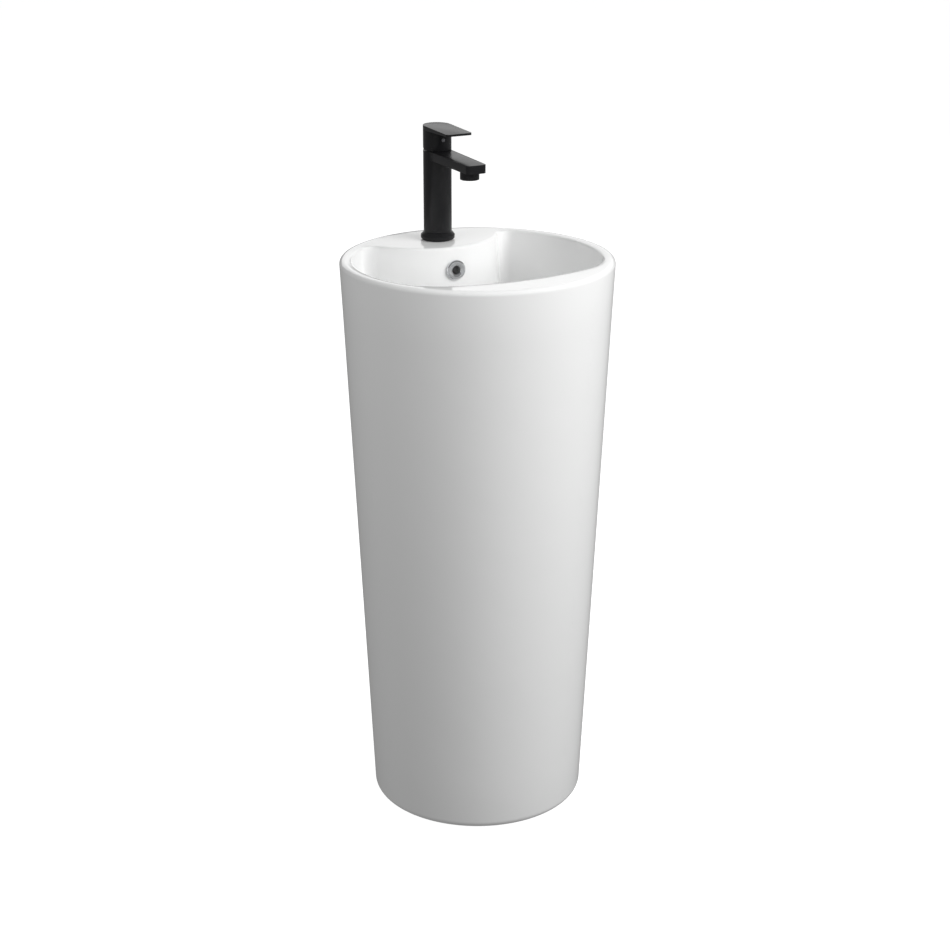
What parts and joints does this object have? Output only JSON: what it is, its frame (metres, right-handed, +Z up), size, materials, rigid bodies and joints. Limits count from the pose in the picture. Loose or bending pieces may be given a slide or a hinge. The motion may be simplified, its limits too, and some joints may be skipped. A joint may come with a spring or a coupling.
{
  "type": "pedestal sink",
  "caption": "Round tapered one-piece ceramic pedestal sink with a rear tap deck, overflow, single-lever mixer tap, click-clack waste and bottle trap.",
  "frame": {"origin": "centre of the round foot, on the floor", "axes": "+Z up, the user stands at -Y, the tap and the wall are at +Y, +X is the user's right"},
  "size_m": [0.4, 0.4, 1.0215],
  "materials": {
    "china": "smooth gloss white glaze",
    "black": "satin black coating on brass",
    "chrome": "polished chrome plating",
    "steel": "plain stainless steel",
    "brass": "machined brass",
    "rubber": "matt black rubber",
    "white_plastic": "moulded white plastic",
    "disc_ceramic": "lapped alumina",
    "index": "dark gloss plastic button"
  },
  "bodies": {
    "root": {"aerator_collar": "black", "aerator_insert": "white_plastic", "aerator_washer": "rubber", "cartridge_cap": "steel", "cartridge_housing": "white_plastic", "cartridge_nut": "brass", "cartridge_seal": "rubber", "ceramic_basin": "china", "click_cartridge": "white_plastic", "click_spring": "steel", "fixed_disc": "disc_ceramic", "fixing_nut": "brass", "fixing_stud": "steel", "horseshoe_seal": "rubber", "horseshoe_washer": "steel", "outlet_nut": "white_plastic", "outlet_pipe": "chrome", "outlet_seal": "rubber", "overflow_ring": "chrome", "tap_base_ring": "black", "tap_base_seal": "rubber", "tap_body": "black", "trap_body": "white_plastic", "trap_cup": "white_plastic", "trap_cup_seal": "rubber", "trap_dip_tube": "white_plastic", "trap_inlet_nut": "white_plastic", "trap_inlet_seal": "rubber", "wall_flange": "chrome", "waste_backnut": "brass", "waste_body": "chrome", "waste_lower_seal": "rubber", "waste_slip_washer": "white_plastic", "waste_top_seal": "rubber"},
    "tap_swivel": {"cartridge_swivel": "white_plastic", "pivot_pin": "steel"},
    "tap_lever": {"tap_handle": "black", "handle_grub_screw": "steel", "index_plug": "index", "cartridge_stem": "brass"},
    "flow_disc": {"moving_disc": "disc_ceramic"},
    "plug": {"waste_plug": "chrome", "plug_seal": "rubber"}
  },
  "joints": [
    {"name": "temperature_swing", "type": "hinge", "parent": "root", "child": "tap_swivel", "pos_m": [0, 0.131, 0.98], "axis": [0, 0, 1], "range_deg": [-45, 45]},
    {"name": "flow_lift", "type": "hinge", "parent": "tap_swivel", "child": "tap_lever", "pos_m": [0, 0.131, 0.9835], "axis": [-1, 0, 0], "range_deg": [0, 22]},
    {"name": "disc_slide", "type": "slide", "parent": "tap_swivel", "child": "flow_disc", "axis": [0, -1, 0], "range_m": [0, 0.0038]},
    {"name": "plug_press", "type": "slide", "parent": "root", "child": "plug", "axis": [0, 0, -1], "range_m": [0, 0.0075], "stiffness_N_per_m": 400, "springref_m": -0.006, "deforming": ["click_spring"]}
  ],
  "couplings": [
    {"joint": "disc_slide", "follows": "flow_lift", "m_per_rad": 0.0095}
  ]
}
